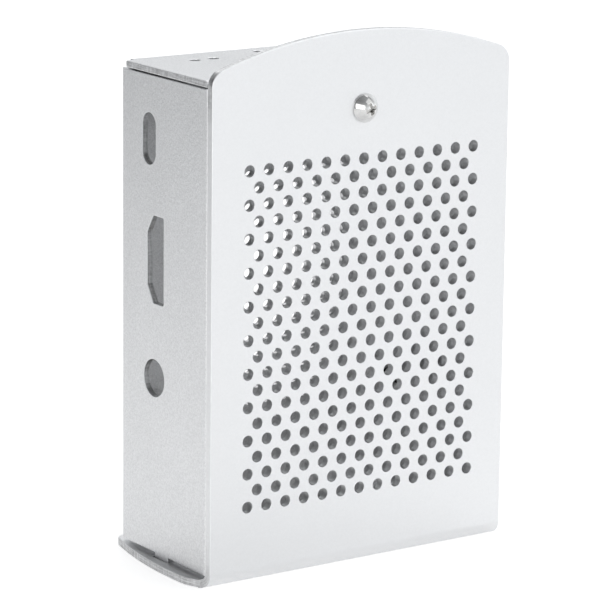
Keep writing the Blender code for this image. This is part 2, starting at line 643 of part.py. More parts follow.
def main():
    for obj in list(bpy.data.objects):
        bpy.data.objects.remove(obj)
    cover_metal = make_material("cover_aluminium", (0.78, 0.79, 0.80), 0.42, 1.0)
    tray_metal = make_material("tray_aluminium", (0.72, 0.73, 0.74), 0.45, 1.0)
    steel = make_material("nickel_steel", (0.70, 0.69, 0.67), 0.22, 1.0)
    rubber = make_material("foot_rubber", (0.03, 0.03, 0.03), 0.75, 0.0)
    case = bpy.data.objects.new("case", None)
    bpy.context.collection.objects.link(case)
    build_tray(tray_metal, case)
    build_cover(cover_metal, case)
    build_cover_fastening(steel, case)
    build_board_mounts(steel, case)
    build_feet(rubber, case)


main()
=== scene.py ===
import math

import bmesh
import bpy
from mathutils import Matrix, Vector


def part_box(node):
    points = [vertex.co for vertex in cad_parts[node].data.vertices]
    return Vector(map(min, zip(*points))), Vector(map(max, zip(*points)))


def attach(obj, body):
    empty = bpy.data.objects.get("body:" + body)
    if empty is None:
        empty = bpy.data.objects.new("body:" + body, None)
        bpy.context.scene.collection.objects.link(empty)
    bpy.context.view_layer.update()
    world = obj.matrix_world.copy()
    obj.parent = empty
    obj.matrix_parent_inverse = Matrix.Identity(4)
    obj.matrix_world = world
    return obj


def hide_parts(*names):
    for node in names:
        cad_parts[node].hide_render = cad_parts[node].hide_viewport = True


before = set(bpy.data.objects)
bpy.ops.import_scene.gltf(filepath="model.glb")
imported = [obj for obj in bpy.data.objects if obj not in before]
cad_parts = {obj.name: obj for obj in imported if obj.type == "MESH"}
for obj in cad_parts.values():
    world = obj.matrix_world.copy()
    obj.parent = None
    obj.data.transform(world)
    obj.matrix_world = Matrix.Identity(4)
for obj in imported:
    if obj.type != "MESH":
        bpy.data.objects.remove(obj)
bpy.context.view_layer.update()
print("frame loaded:", len(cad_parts), "nodes")

mm = 0.001


# helpers for shader nodes
class Signal:
    # one output socket that can be used in sums, products and powers
    def __init__(self, tree, socket):
        self.tree = tree
        self.socket = socket

    def calc(self, operation, other, swapped=False):
        node = self.tree.nodes.new("ShaderNodeMath")
        node.operation = operation
        pair = (other, self) if swapped else (self, other)
        for slot, value in zip(node.inputs, pair):
            if isinstance(value, Signal):
                self.tree.links.new(value.socket, slot)
            else:
                slot.default_value = value
        return Signal(self.tree, node.outputs[0])

    def __add__(self, other):
        return self.calc("ADD", other)

    def __radd__(self, other):
        return self.calc("ADD", other, True)

    def __sub__(self, other):
        return self.calc("SUBTRACT", other)

    def __rsub__(self, other):
        return self.calc("SUBTRACT", other, True)

    def __mul__(self, other):
        return self.calc("MULTIPLY", other)

    def __rmul__(self, other):
        return self.calc("MULTIPLY", other, True)


class Finish:
    # a material with its Principled shader, built up node by node
    def __init__(self, name, tree=None):
        if tree is None:
            self.material = bpy.data.materials.new(name)
            self.material.use_nodes = True
            tree = self.material.node_tree
        self.tree = tree
        self.shader = tree.nodes.get("Principled BSDF")

    def feed(self, socket, value):
        if isinstance(value, Signal):
            self.tree.links.new(value.socket, socket)
        else:
            socket.default_value = value

    def node(self, kind, settings=None, sockets=None, out=0):
        made = self.tree.nodes.new(kind)
        for key, value in (settings or {}).items():
            setattr(made, key, value)
        for key, value in (sockets or {}).items():
            self.feed(made.inputs[key], value)
        return Signal(self.tree, made.outputs[out])

    def place(self):
        # the point on the piece in millimetres
        where = self.node("ShaderNodeTexCoord", out="Object")
        return self.node("ShaderNodeMapping", {}, {"Vector": where, "Scale": (1000, 1000, 1000)})

    def grain(self, scale, detail=2.0, rough=0.5, at=None):
        # noise around 0.5, with scale in features per millimetre
        sockets = {"Vector": at or self.place(), "Scale": scale, "Detail": detail, "Roughness": rough}
        return self.node("ShaderNodeTexNoise", {}, sockets)

    def ramp(self, value, low, high, fromValue=0.0, toValue=1.0):
        sockets = {"Value": value, "From Min": low, "From Max": high, "To Min": fromValue, "To Max": toValue}
        return self.node("ShaderNodeMapRange", {"clamp": True}, sockets)

    def blend(self, amount, first, second):
        # a colour between two colours
        return self.node("ShaderNodeMix", {"data_type": "RGBA"}, {0: amount, 6: first, 7: second}, out=2)

    def bump(self, height, strength, distance):
        sockets = {"Strength": strength, "Distance": distance, "Height": height}
        normal = self.node("ShaderNodeBump", {}, sockets)
        self.feed(self.shader.inputs["Normal"], normal)

    def set(self, **values):
        # keys are socket names without their blanks
        names = {socket.name.replace(" ", ""): socket for socket in self.shader.inputs}
        for key, value in values.items():
            self.feed(names[key], value)


def shade(colour, factor):
    return tuple(min(1.0, c * factor) for c in colour[:3]) + (1.0,)


# finishes
metalLook = {
    "coverColour": (0.912, 0.916, 0.923),
    "trayColour": (0.907, 0.911, 0.919),
    "coverRoughness": 0.375,
    "trayRoughness": 0.335,
    "coverGrain": 0.45,      # strength of the blast marks
    "trayGrain": 2.3,
    "grainSize": 2.4,        # blast marks per millimetre
    "pitSize": 2.6,          # how much finer the pits are
    "cloudSize": 0.045,      # clouds per millimetre
    "grainDepth": 0.022 * mm,
    "metalShare": 0.96,      # the rest is the milky oxide layer
    # painted highlight: how much paler the rounded rims are painted
    "edgeBright": 1.06,
    "wearSize": 0.35,        # patches of painted sheen and of wear per millimetre of edge
    "marksDark": 0.06,       # how far the marks darken and brighten the sheet
    "marksBright": 0.03,
    "marksRough": 0.07,      # how far each makes it rougher or smoother
    "cloudsRough": 0.015,
    "wearRough": 0.07,
}

cutLook = {
    "dark": 0.54,            # shares of the sheet's own colour
    "bright": 0.98,
    "layers": 5.0,           # streaks per millimetre of thickness
    "streaks": 0.25,         # their changes per millimetre of length
    "hatch": 1.6,            # fine marks per millimetre of length
    "streakRough": 0.2,
    "depth": 0.05 * mm,
    "pale": 1.05,            # painted light: how much paler the cut edge is painted along the stretch beside the front plate
    "paleShare": 0.85,
    "paleFade": 5.0,         # millimetres
    "paleBand": (0.0, 87.0), # heights on the cover's blank in millimetres
}


def blastedAluminium(name, colour, roughness, grain):
    # satin anodised sheet: fine blast marks, faint clouds, and a painted highlight on the rounded rims,
    # broken into patches like wear, where the sheet is also smoother
    look = metalLook
    finish = Finish(name)
    marks = finish.grain(look["grainSize"], 3.0, 0.6)
    pits = finish.grain(look["grainSize"] * look["pitSize"], 1.0, 0.5)
    clouds = finish.grain(look["cloudSize"], 3.0, 0.55)
    onRim = finish.node("ShaderNodeAttribute", {"attribute_name": "edgeTouch"}, out="Fac")
    patchy = finish.ramp(finish.grain(look["wearSize"], 3.0, 0.6), 0.35, 0.65)
    sheenAndWear = onRim * (0.45 + 0.55 * patchy)
    tone = finish.ramp(0.12 * clouds + 0.48 * marks + 0.4 * pits, 0.38, 0.62)
    dark, bright = 1 - look["marksDark"] * grain, 1 + look["marksBright"] * grain
    base = finish.blend(tone, shade(colour, dark), shade(colour, bright))
    # painted highlight on the rounded rims, in patches
    base = finish.blend(sheenAndWear, base, shade(colour, look["edgeBright"]))
    dullness = roughness + look["marksRough"] * (marks - 0.5) + look["cloudsRough"] * (clouds - 0.5)
    dullness = dullness - look["wearRough"] * sheenAndWear
    finish.set(BaseColor=base, Metallic=look["metalShare"], Roughness=dullness)
    finish.bump(marks + 0.5 * pits, 0.9, look["grainDepth"] * grain)
    return finish.material


def cutAluminium(name, colour, roughness, paleBand=None):
    # the sheared edge: long streaks one above the other, crossed by the punch's fine hatching;
    # it has painted light: it is paler between two heights on the flat blank
    look = cutLook
    finish = Finish(name)
    layer = finish.node("ShaderNodeAttribute", {"attribute_name": "layerDepth"}, out="Fac")
    blank = finish.node("ShaderNodeAttribute", {"attribute_name": "blankSpot"}, out="Vector")
    lifted = finish.node("ShaderNodeCombineXYZ", {}, {"X": 0.0, "Y": 0.0, "Z": layer * look["layers"]})
    drawn = finish.node("ShaderNodeVectorMath", {"operation": "SCALE"}, {0: blank, "Scale": look["streaks"]})
    spot = finish.node("ShaderNodeVectorMath", {"operation": "ADD"}, {0: drawn, 1: lifted})
    streaks = finish.grain(1.0, 3.0, 0.6, at=spot)
    hatch = finish.grain(look["hatch"], 2.0, 0.7, at=blank)
    marks = finish.grain(metalLook["grainSize"], 2.0, 0.6)
    tone = finish.ramp(0.5 * streaks + 0.3 * hatch + 0.2 * marks, 0.4, 0.6)
    base = finish.blend(tone, shade(colour, look["dark"]), shade(colour, look["bright"]))
    # painted light: the stretch of the cut edge beside the front plate is painted paler
    if paleBand:
        up = finish.node("ShaderNodeSeparateXYZ", {}, {"Vector": blank}, out="Y")
        low, high = paleBand
        pale = finish.ramp(up, low, low + look["paleFade"]) * finish.ramp(up, high, high - look["paleFade"])
        base = finish.blend(look["paleShare"] * pale, base, shade(colour, look["pale"]))
    dullness = roughness + look["streakRough"] * (streaks - 0.5)
    finish.set(BaseColor=base, Metallic=metalLook["metalShare"], Roughness=dullness)
    finish.bump(0.6 * streaks + 0.4 * hatch, 0.8, look["depth"])
    return finish.material


nickelLook = {
    "colour": (0.80, 0.795, 0.785),
    "roughness": 0.1,
    "smudgeSize": 0.9,       # smudges per millimetre
    "smudgeRough": 0.12,
    "fineSize": 7.0,
    "fineRough": 0.05,
    "depth": 0.01 * mm,
}


def brightNickel(name):
    # plated steel: bright, with faint smudges and fine marks
    look = nickelLook
    finish = Finish(name)
    smudge = finish.grain(look["smudgeSize"], 4.0, 0.6)
    fine = finish.grain(look["fineSize"], 2.0, 0.6)
    tone = finish.ramp(0.6 * smudge + 0.4 * fine, 0.35, 0.65)
    base = finish.blend(tone, shade(look["colour"], 0.9), shade(look["colour"], 1.03))
    dullness = look["roughness"] + look["smudgeRough"] * (smudge - 0.5) + look["fineRough"] * (fine - 0.5)
    finish.set(BaseColor=base, Metallic=1.0, Roughness=dullness)
    finish.bump(fine, 0.12, look["depth"])
    return finish.material


rubberLook = {
    "clean": (0.022, 0.022, 0.023, 1),
    "dusty": (0.06, 0.058, 0.055, 1),
    "roughness": 0.72,
    "poreSize": 5.0,         # pores per millimetre
    "poreRough": 0.2,
    "dustSize": 0.6,
    "depth": 0.04 * mm,
}


def footRubber(name):
    # black moulded rubber with dust in its pores
    look = rubberLook
    finish = Finish(name)
    pores = finish.grain(look["poreSize"], 3.0, 0.6)
    dust = finish.ramp(finish.grain(look["dustSize"], 4.0, 0.65), 0.5, 0.75)
    dullness = look["roughness"] + look["poreRough"] * (pores - 0.5)
    finish.set(BaseColor=finish.blend(dust, look["clean"], look["dusty"]), Roughness=dullness)
    finish.bump(pores, 0.4, look["depth"])
    return finish.material


coverMetal = metalLook["coverColour"], metalLook["coverRoughness"]
trayMetal = metalLook["trayColour"], metalLook["trayRoughness"]
coverFace = blastedAluminium("coverFace", *coverMetal, metalLook["coverGrain"])
coverCut = cutAluminium("coverCut", *coverMetal, cutLook["paleBand"])
trayFace = blastedAluminium("trayFace", *trayMetal, metalLook["trayGrain"])
trayCut = cutAluminium("trayCut", *trayMetal)
nickel = brightNickel("brightNickel")
rubber = footRubber("footRubber")
print("finishes ready")


# helpers for meshes
punch = {"diameter": 2.0 * mm, "pitch": (4.0 * mm, 3.0 * mm), "sides": 16}


def corner(bm, vert, radius, segments=6):
    # rounds one corner of a wire outline
    first, second = [(edge.other_vert(vert).co - vert.co).normalized() for edge in vert.link_edges]
    reach = radius / math.tan(first.angle(second) / 2)
    bmesh.ops.bevel(bm, geom=[vert], offset=reach, offset_type="OFFSET", segments=segments,
                    profile=0.5, affect="VERTICES", material=-1)


def wire(bm, points, closed=True, rounded=()):
    # an outline from a few points; rounded pairs an index with a corner radius
    verts = [bm.verts.new((x, y, 0)) for x, y in points]
    for a, b in zip(verts, verts[1:] + verts[:1] if closed else verts[1:]):
        bm.edges.new((a, b))
    for index, radius in rounded:
        corner(bm, verts[index], radius)


def sweep(bm, vert, centre, angle, steps):
    # carries one vertex along an arc and leaves the edges behind it
    made = bmesh.ops.spin(bm, geom=[vert], cent=(*centre, 0), axis=(0, 0, 1), angle=angle, steps=steps)
    return [item for item in made["geom_last"] if isinstance(item, bmesh.types.BMVert)][0]


def hole(bm, centre, diameter, sides):
    bmesh.ops.create_circle(bm, cap_ends=False, segments=sides, radius=diameter / 2,
                            matrix=Matrix.Translation((*centre, 0)))


def holeField(bm, middle, low, columns, rows):
    # staggered punched holes: full rows, and rows between them with one hole less
    across, up = punch["pitch"]
    for row in range(rows):
        count = columns - row % 2
        for i in range(count):
            spot = (middle + (i - (count - 1) / 2) * across, low + row * up)
            hole(bm, spot, punch["diameter"], punch["sides"])


def spread(start, length, steps):
    # evenly spaced places from start on
    return [start + length * i / steps for i in range(steps + 1)]


def cutLines(bm, axis, spots, keep):
    # straight cuts across the blank, where it will be bent or rounded
    for at in spots:
        point = Vector((at, 0, 0)) if axis == "X" else Vector((0, at, 0))
        normal = Vector((1, 0, 0)) if axis == "X" else Vector((0, 1, 0))
        faces = [f for f in bm.faces if keep(f.calc_center_median())]
        edges = list(dict.fromkeys(e for f in faces for e in f.edges))
        verts = list(dict.fromkeys(v for f in faces for v in f.verts))
        bmesh.ops.bisect_plane(bm, geom=verts + edges + faces, dist=0.0005 * mm,
                               plane_co=point, plane_no=normal)


# what each face of a sheet is: the highest one at a point gives the point its normal
flatFace, bentFace, cutFace, roundFace = 3, 2, 1, 0
cutSlot = 1                                       # the material slot of the cut edges


def thicken(bm, thickness):
    # gives the blank its thickness: z = 0 is the outer face
    rank = bm.faces.layers.int.new("rank")
    for face in bm.faces:
        face[rank] = flatFace
    made = bmesh.ops.extrude_face_region(bm, geom=bm.faces[:])
    far = [item for item in made["geom"] if isinstance(item, bmesh.types.BMVert)]
    farFaces = {item for item in made["geom"] if isinstance(item, bmesh.types.BMFace)}
    bmesh.ops.translate(bm, verts=far, vec=(0, 0, thickness))
    for face in bm.faces:
        heights = [v.co.z for v in face.verts]
        if max(heights) - min(heights) > thickness / 2:
            face[rank] = cutFace
            face.material_index = cutSlot
        elif face in farFaces:
            face[rank] = flatFace
    return rank


def rimEdges(bm, rank, level, inside):
    # edges between a face and the cut edge at one level of the sheet
    found = []
    for edge in bm.edges:
        if len(edge.link_faces) == 2 and all(abs(v.co.z - level) < 1e-7 for v in edge.verts):
            ranks = {face[rank] for face in edge.link_faces}
            middle = (edge.verts[0].co + edge.verts[1].co) / 2
            if ranks == {cutFace, flatFace} and inside(middle):
                found.append(edge)
    return found


def roundRim(bm, rank, edges, radius, segments):
    made = bmesh.ops.bevel(bm, geom=edges, offset=radius, offset_type="OFFSET", segments=segments,
                           profile=0.5, affect="EDGES", clamp_overlap=False, loop_slide=False, material=-1)
    for face in made["faces"]:
        face[rank] = roundFace
        face.material_index = 0


def triangles(bm, least=0.0002 * mm):
    # splits faces along their best diagonals, so that points in line leave no empty face
    bmesh.ops.triangulate(bm, faces=bm.faces[:], quad_method="BEAUTY", ngon_method="BEAUTY")
    bmesh.ops.dissolve_degenerate(bm, edges=bm.edges[:], dist=least)
    bmesh.ops.triangulate(bm, faces=[face for face in bm.faces if len(face.verts) > 3],
                          quad_method="BEAUTY", ngon_method="BEAUTY")


def settle(name, bm, rank, materials):
    # turns the folded sheet into an object whose flat faces shade flat up to their roundings
    # marks the rounded rims, where the finish paints a highlight and makes the sheet smoother
    rimLayer = bm.verts.layers.float.new("edgeTouch")
    triangles(bm)
    bmesh.ops.recalc_face_normals(bm, faces=bm.faces[:])
    if bm.calc_volume(signed=True) < 0:
        bmesh.ops.reverse_faces(bm, faces=bm.faces[:])
    bm.normal_update()
    for edge in bm.edges:
        ranks = {face[rank] for face in edge.link_faces}
        besideRounding = roundFace in ranks and ranks != {roundFace}
        edge.smooth = edge.calc_face_angle(0) < math.radians(60 if besideRounding else 34)
    for vert in bm.verts:
        if all(face[rank] == roundFace for face in vert.link_faces):
            vert[rimLayer] = 1.0
    bm.faces.index_update()
    normals = {}
    for vert in bm.verts:
        waiting = list(vert.link_faces)
        while waiting:                            # one fan of faces between sharp edges
            fan = []
            reach = [waiting.pop()]
            while reach:
                face = reach.pop()
                fan.append(face)
                for edge in face.edges:
                    if edge.smooth and vert in edge.verts:
                        for other in edge.link_faces:
                            if other in waiting:
                                waiting.remove(other)
                                reach.append(other)
            top = max(face[rank] for face in fan)
            normal = Vector()
            for face in fan:
                if face[rank] == top:
                    normal += face.normal * max(face.calc_area(), 1e-12) ** 0.5
            normal.normalize()
            for face in fan:
                normals[(face.index, vert)] = normal
    corners = [tuple(normals[(face.index, vert)]) for face in bm.faces for vert in face.verts]
    mesh = bpy.data.meshes.new(name)
    bm.to_mesh(mesh)
    bm.free()
    mesh.shade_smooth()
    mesh.normals_split_custom_set(corners)
    return finished(name, mesh, materials)


def finished(name, mesh, materials):
    obj = bpy.data.objects.new(name, mesh)
    bpy.context.collection.objects.link(obj)
    for material in materials:
        mesh.materials.append(material)
    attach(obj, "root")
    return obj


def bendPoint(along, depth, radius, length):
    # where a point of a flap goes, past the start of its bend
    if along <= 0:
        return along, depth
    if along < length:
        angle = math.pi / 2 * along / length
        return (radius - depth) * math.sin(angle), radius - (radius - depth) * math.cos(angle)
    return radius - depth, radius + along - length


def foldAll(bm, fold):
    # keeps each point's depth in the sheet and its place on the flat blank, in millimetres
    bm.verts.layers.float.new("layerDepth")
    spot = bm.verts.layers.float_vector.new("blankSpot")
    layer = bm.verts.layers.float["layerDepth"]   # read back, because a new layer moves the others
    for vert in bm.verts:
        vert[layer] = vert.co.z / mm
        vert[spot] = (vert.co.x / mm, vert.co.y / mm, 0)
        vert.co = fold(vert.co)


# sizes that several pieces share, as in the solids; spots are in millimetres
case = {
    "depth": 30.8 * mm,
    "depthCentre": 15.55 * mm,
    "wallBottom": 2.2 * mm,
    "wallTop": 88.6 * mm,
    "flangeTop": 90.05 * mm,
    "screwHeight": 83.0 * mm,
    "seatGap": 0.3 * mm,          # between a fastener's seat and the sheet
    "openingCorner": 0.3 * mm,
    "mountSpots": {"upper_left": (-25.2, 84.37), "upper_right": (23.8, 84.37),
                   "lower_left": (-25.2, 26.37), "lower_right": (23.8, 26.37)},
}
tiny = 0.01 * mm

# cover
coverParts = {
    "thickness": 1.5 * mm,
    "bendRadius": 3.0 * mm,
    "half": 31.75 * mm,
    "top": 96.9 * mm,
    "arcRadius": 92.0 * mm,
    "cornerRadius": 3.0 * mm,
    "edgeRounding": 0.2 * mm,
    "innerRounding": 0.12 * mm,   # on the edges of the inner face
    "holeRounding": 0.16 * mm,
    "columns": 13,
    "rows": 21,
    "firstRow": 14.0 * mm,
    "holeHalf": 26.0 * mm,        # the punched holes lie within this half width and these heights
    "holeHeights": (11.0 * mm, 86.0 * mm),
    "screwHole": 3.4 * mm,
    "bulge": 2.0 * mm,
    "bulgeRadius": 85.0 * mm,
    "bulgeDepth": 11.0 * mm,
    "flareStart": 0.9 * mm,       # height on the flat blank where the sides begin to run out
    "flareOut": 1.75 * mm,
    "flareLength": 3.55 * mm,
    "flareEnd": 7.2 * mm,
    "neckRadius": 4.5 * mm,
    "flareRadius": 4.0 * mm,
    "heelEdge": 33.3 * mm,
    "heelCorner": 2.0 * mm,
    "jacks": [((-26.95, 7.95), (-9.9611, 22.55)), ((-7.3861, 5.45), (8.0068, 22.55)),
              ((10.5818, 5.45), (25.975, 22.55))],
    "tabSlots": [((30.05, 14.15), (31.85, 19.05)), ((-31.85, 14.15), (-30.05, 19.05))],
    "archSteps": 30,
    "sideSteps": 14,
    "bendSteps": 12,
}


def makeCover():
    sizes = coverParts
    half, radius, thick = sizes["half"], sizes["bendRadius"], sizes["thickness"]
    bendLength = math.pi / 2 * (radius - thick / 2)
    bm = bmesh.new()

    # front plate: the arch is swept from its left end
    centre = (0, sizes["top"] - sizes["arcRadius"])
    lean = math.asin(half / sizes["arcRadius"])
    level = centre[1] + sizes["arcRadius"] * math.cos(lean)
    left = bm.verts.new((-half, level, 0))
    right = sweep(bm, left, centre, -2 * lean, sizes["archSteps"])

    # end plate, below the bend in the flat: sides swept with their bulge
    def flatY(depth):
        return radius - bendLength - (depth - radius)

    bulgeCentre = half + sizes["bulge"] - sizes["bulgeRadius"]

    def bulgeAt(depth):
        return bulgeCentre + math.sqrt(sizes["bulgeRadius"] ** 2 - (depth - sizes["bulgeDepth"]) ** 2)

    def bulgeAngle(depth):
        return math.asin((depth - sizes["bulgeDepth"]) / sizes["bulgeRadius"])

    flareY = sizes["flareStart"] - sizes["flareLength"]
    sideTurn = bulgeAngle(sizes["heelEdge"]) - bulgeAngle(sizes["flareEnd"])
    ends = []
    for side, top in ((1, right), (-1, left)):
        neck = bm.verts.new((side * half, sizes["flareStart"], 0))
        flare = bm.verts.new((side * (half + sizes["flareOut"]), flareY, 0))
        ear = bm.verts.new((side * bulgeAt(sizes["flareEnd"]), flatY(sizes["flareEnd"]), 0))
        middle = (side * bulgeCentre, flatY(sizes["bulgeDepth"]))
        heel = sweep(bm, ear, middle, -side * sideTurn, sizes["sideSteps"])
        for pair in ((top, neck), (neck, flare), (flare, ear)):
            bm.edges.new(pair)
        ends.append((top, neck, flare, heel))
    bm.edges.new((ends[0][3], ends[1][3]))
    for top, neck, flare, heel in ends:
        corner(bm, top, sizes["cornerRadius"], 8)
        corner(bm, heel, sizes["heelCorner"], 6)
        corner(bm, neck, sizes["neckRadius"], 5)
        corner(bm, flare, sizes["flareRadius"], 5)

    # openings and holes
    for (x0, depth0), (x1, depth1) in sizes["jacks"] + sizes["tabSlots"]:
        corners = [(x * mm, flatY(depth * mm))
                   for x, depth in ((x0, depth0), (x1, depth0), (x1, depth1), (x0, depth1))]
        wire(bm, corners, rounded=[(i, case["openingCorner"]) for i in range(4)])
    holeField(bm, 0, sizes["firstRow"], sizes["columns"], sizes["rows"])
    hole(bm, (0, case["screwHeight"]), sizes["screwHole"], 32)
    bmesh.ops.triangle_fill(bm, use_beauty=True, use_dissolve=False, edges=bm.edges[:], normal=(0, 0, 1))
    cutLines(bm, "Y", spread(radius - bendLength, bendLength, sizes["bendSteps"]), lambda c: True)

    rank = thicken(bm, thick)
    for face in bm.faces:
        middle = face.calc_center_median()
        if face[rank] == flatFace and radius - bendLength < middle.y < radius:
            face[rank] = bentFace
    low, high = sizes["holeHeights"]

    def inField(spot):
        return abs(spot.x) < sizes["holeHalf"] and low < spot.y < high

    roundRim(bm, rank, rimEdges(bm, rank, 0, inField), sizes["holeRounding"], 1)
    for level, rounding in ((0, sizes["edgeRounding"]), (thick, sizes["innerRounding"])):
        roundRim(bm, rank, rimEdges(bm, rank, level, lambda spot: not inField(spot)), rounding, 3)

    def fold(spot):
        reach, rise = bendPoint(radius - spot.y, spot.z, radius, bendLength)
        return Vector((spot.x, rise - case["depthCentre"], radius - reach))

    foldAll(bm, fold)
    cover = settle("coverSheet", bm, rank, [coverFace, coverCut])
    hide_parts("cover")


makeCover()
print("cover folded")

# base tray
trayParts = {
    "thickness": 1.2 * mm,
    "bendRadius": 1.7 * mm,
    "half": 31.55 * mm,
    "front": 1.8 * mm,
    "edgeRounding": 0.16 * mm,
    "frontRounding": 0.7 * mm,
    "wallStart": 9.0 * mm,        # past the side bend, where only the wall is left
    "tabHalf": 2.15 * mm,
    "tabDepth": 16.6 * mm,
    "tabEnd": 0.3 * mm,
    "tabCorner": 0.4 * mm,
    "reliefWidth": 0.8 * mm,
    "reliefDepth": 0.4 * mm,
    "shoulder": 0.7 * mm,
    "lipHalf": 6.5 * mm,
    "lipRelief": 1.0 * mm,
    "lipBelowScrew": 5.5 * mm,
    "screwHole": 3.4 * mm,
    "smallScrewHole": 3.0 * mm,
    "notch": ((-7.7, 79.89), (6.3, 86.89)),
    "notchCorner": 1.5 * mm,
    "power": {"depth": 20.78 * mm, "height": 77.27 * mm, "length": 9.2 * mm, "width": 4.3 * mm},
    "display": {"depth": 18.625 * mm, "height": 55.87 * mm, "length": 15.7 * mm, "width": 5.35 * mm,
                "chamferAlong": 3.15 * mm, "chamferUp": 2.0 * mm},
    "audio": {"depth": 19.05 * mm, "height": 34.37 * mm, "diameter": 6.75 * mm},
    "flangeHoles": [(-20.85, 22.7, 2.0), (-17.0, 22.7, 2.0), (-5.4, 25.5, 2.3)],
    "ventMiddle": -0.7 * mm,
    "ventLow": 18.37 * mm,
    "ventColumns": 9,
    "ventRows": 19,
    "ventRounding": 0.14 * mm,
    "ventHalf": 19.0 * mm,        # the vents lie within this half width and these heights
    "ventHeights": (16.0 * mm, 75.0 * mm),
    "bendSteps": 8,
    "frontSteps": 6,
    "endSteps": 14,               # of the power opening's round ends
}


def makeTray():
    sizes = trayParts
    thick, radius, half = sizes["thickness"], sizes["bendRadius"], sizes["half"]
    bendLength = math.pi / 2 * (radius - thick / 2)
    panelHalf = half - radius
    panelTop = case["flangeTop"] - radius
    relief = panelTop - sizes["reliefDepth"]
    reach = case["depth"] - sizes["front"]
    lipStart = panelTop + bendLength + reach - 2 * radius
    flangeEdge = lipStart + radius
    screwAlong = lipStart + bendLength + case["flangeTop"] - case["screwHeight"] - radius
    lipEnd = screwAlong + sizes["lipBelowScrew"]
    low, high = case["wallBottom"], case["wallTop"]

    def wallX(depth):
        return panelHalf + bendLength + case["depth"] - depth - radius

    bm = bmesh.new()
    tabFar = wallX(sizes["tabDepth"] + sizes["tabHalf"])
    tabNear = wallX(sizes["tabDepth"] - sizes["tabHalf"])
    tabEnd = sizes["tabEnd"]
    shoulder = panelTop + bendLength + sizes["shoulder"]
    lipHalf = sizes["lipHalf"]
    frontX = wallX(sizes["front"])
    points = [(0, low), (tabFar, low), (tabFar, tabEnd), (tabNear, tabEnd), (tabNear, low),
              (frontX, low), (frontX, high),
              (panelHalf + sizes["reliefWidth"], high), (panelHalf + sizes["reliefWidth"], relief),
              (panelHalf, relief), (panelHalf, shoulder), (half, shoulder), (half, flangeEdge),
              (lipHalf + sizes["lipRelief"], flangeEdge), (lipHalf + sizes["lipRelief"], lipStart),
              (lipHalf, lipStart), (lipHalf, lipEnd), (0, lipEnd)]
    wire(bm, points, closed=False, rounded=[(2, sizes["tabCorner"]), (3, sizes["tabCorner"]), (16, radius)])
    bmesh.ops.mirror(bm, geom=bm.verts[:] + bm.edges[:], axis="X", merge_dist=tiny / 10)

    # openings of the connector wall, on the left
    power, display, audio = sizes["power"], sizes["display"], sizes["audio"]
    middle = -wallX(power["depth"])
    ends = []
    for side in (1, -1):
        centre = (middle, power["height"] + side * (power["length"] - power["width"]) / 2)
        start = bm.verts.new((middle + side * power["width"] / 2, centre[1], 0))
        ends.append((start, sweep(bm, start, centre, math.pi, sizes["endSteps"])))
    bm.edges.new((ends[0][1], ends[1][0]))
    bm.edges.new((ends[1][1], ends[0][0]))
    middle = -wallX(display["depth"])
    near, far = middle - display["width"] / 2, middle + display["width"] / 2
    lengthHalf = display["length"] / 2
    narrow = lengthHalf - display["chamferAlong"]
    outline = [(near, lengthHalf), (far - display["chamferUp"], lengthHalf), (far, narrow),
               (far, -narrow), (far - display["chamferUp"], -lengthHalf), (near, -lengthHalf)]
    wire(bm, [(across, display["height"] + up) for across, up in outline],
         rounded=[(i, case["openingCorner"]) for i in range(6)])
    hole(bm, (-wallX(audio["depth"]), audio["height"]), audio["diameter"], 40)

    # back panel: card notch and screw holes, then the flange's and the lip's holes
    (x0, y0), (x1, y1) = sizes["notch"]
    wire(bm, [(x0 * mm, y0 * mm), (x1 * mm, y0 * mm), (x1 * mm, y1 * mm), (x0 * mm, y1 * mm)],
         rounded=[(i, sizes["notchCorner"]) for i in range(4)])
    for across, up in case["mountSpots"].values():
        hole(bm, (across * mm, up * mm), sizes["smallScrewHole"], 28)
    holeField(bm, sizes["ventMiddle"], sizes["ventLow"], sizes["ventColumns"], sizes["ventRows"])
    for across, depth, diameter in sizes["flangeHoles"]:
        along = panelTop + bendLength + case["depth"] - depth * mm - radius
        hole(bm, (across * mm, along), diameter * mm, 28)
    hole(bm, (0, screwAlong), sizes["screwHole"], 32)
    bmesh.ops.triangle_fill(bm, use_beauty=True, use_dissolve=False, edges=bm.edges[:], normal=(0, 0, 1))

    # cuts where the sheet is bent and along the front edges that are rounded
    steps = sizes["bendSteps"]
    for side in (-1, 1):
        cutLines(bm, "X", spread(side * panelHalf, side * bendLength, steps), lambda c: c.y < high)
    cutLines(bm, "Y", spread(panelTop, bendLength, steps), lambda c: abs(c.x) < panelHalf)
    cutLines(bm, "Y", spread(lipStart, bendLength, steps), lambda c: abs(c.x) < lipHalf and c.y > shoulder)
    soft = sizes["frontRounding"]
    turns = [math.pi / 2 * i / sizes["frontSteps"] for i in range(1, sizes["frontSteps"] + 1)]
    nearEdge = [soft * (1 - math.cos(turn)) for turn in turns]
    for side in (-1, 1):
        cutLines(bm, "X", [side * (frontX - gap) for gap in nearEdge], lambda c: c.y < high)
    cutLines(bm, "Y", [flangeEdge - gap for gap in nearEdge], lambda c: abs(c.x) > lipHalf and c.y > shoulder)

    rank = thicken(bm, thick)
    for face in bm.faces:
        middle = face.calc_center_median()
        across, up = abs(middle.x), middle.y
        if face[rank] == flatFace:
            sideBend = up < high and panelHalf < across < panelHalf + bendLength
            flangeBend = across < panelHalf and panelTop < up < panelTop + bendLength
            lipBend = across < lipHalf and lipStart < up < lipStart + bendLength
            frontEdge = up < high and across > frontX - soft
            flangeFront = across > lipHalf + sizes["lipRelief"] and flangeEdge - soft < up < flangeEdge
            if sideBend or flangeBend or lipBend or frontEdge or flangeFront:
                face[rank] = bentFace

    def gapToFront(spot):
